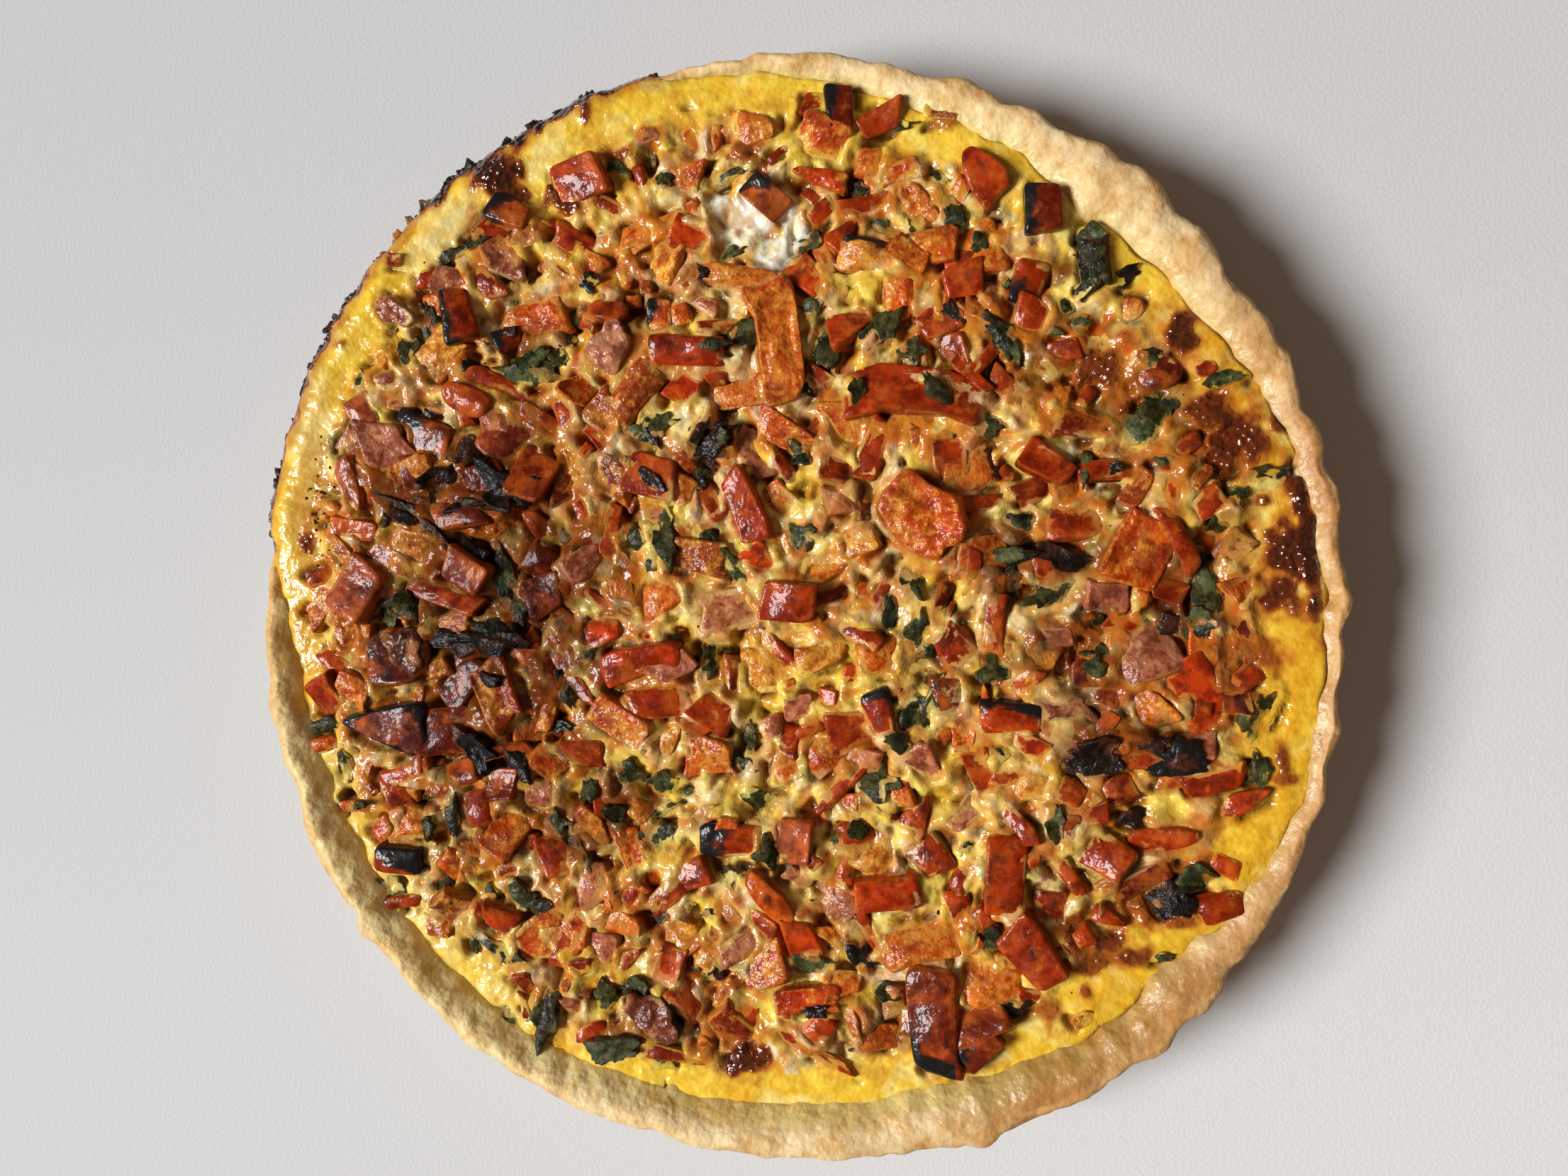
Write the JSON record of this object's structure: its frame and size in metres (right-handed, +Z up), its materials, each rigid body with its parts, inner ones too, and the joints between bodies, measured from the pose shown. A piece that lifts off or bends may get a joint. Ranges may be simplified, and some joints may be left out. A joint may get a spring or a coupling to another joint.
{
  "type": "quiche",
  "caption": "Round baked quiche out of its tin: fluted pastry case, egg filling run over one side, peppers, tomato, ham, leaves and charred pieces.",
  "frame": {"origin": "bottom centre of the whole quiche", "axes": "+Z up, +Y away from the side with the deepest bare rim, +X to the right of that"},
  "size_m": [0.2738, 0.276, 0.0337],
  "materials": {
    "pastry": "pale straw shortcrust, browned at the rim, dry outside and soaked with fat inside",
    "custard": "glossy baked egg, yellow with amber and near-black blisters",
    "pepper": "glossy red pepper skin, some edges charred",
    "tomato": "wet orange-red tomato flesh",
    "ham": "browned pink meat, glossy",
    "leaf": "wilted dark green leaf",
    "charred": "burnt black, faint sheen"
  },
  "bodies": {
    "root": {"charred_01": "charred", "charred_02": "charred", "charred_03": "charred", "charred_04": "charred", "charred_05": "charred", "crust": "pastry", "filling": "custard", "ham_01": "ham", "ham_02": "ham", "ham_03": "ham", "ham_04": "ham", "leaf_01": "leaf", "leaf_02": "leaf", "leaf_03": "leaf", "leaf_04": "leaf", "leaf_05": "leaf", "leaf_06": "leaf", "pepper_01": "pepper", "pepper_02": "pepper", "pepper_03": "pepper", "pepper_04": "pepper", "pepper_05": "pepper", "pepper_06": "pepper", "pepper_07": "pepper", "pepper_08": "pepper", "pepper_09": "pepper", "pepper_10": "pepper", "pepper_11": "pepper", "pepper_12": "pepper", "pepper_13": "pepper", "pepper_14": "pepper", "pepper_15": "pepper", "pepper_16": "pepper", "pepper_17": "pepper", "pepper_18": "pepper", "pepper_19": "pepper", "pepper_20": "pepper", "pepper_21": "pepper", "pepper_22": "pepper", "pepper_23": "pepper", "pepper_24": "pepper", "pepper_25": "pepper", "pepper_26": "pepper", "pepper_27": "pepper", "pepper_28": "pepper", "pepper_29": "pepper", "pepper_30": "pepper", "pepper_31": "pepper", "tomato_01": "tomato", "tomato_02": "tomato", "tomato_03": "tomato", "tomato_04": "tomato", "tomato_05": "tomato", "tomato_06": "tomato", "tomato_07": "tomato", "tomato_08": "tomato", "tomato_09": "tomato", "tomato_10": "tomato", "tomato_11": "tomato", "tomato_12": "tomato"}
  },
  "joints": []
}
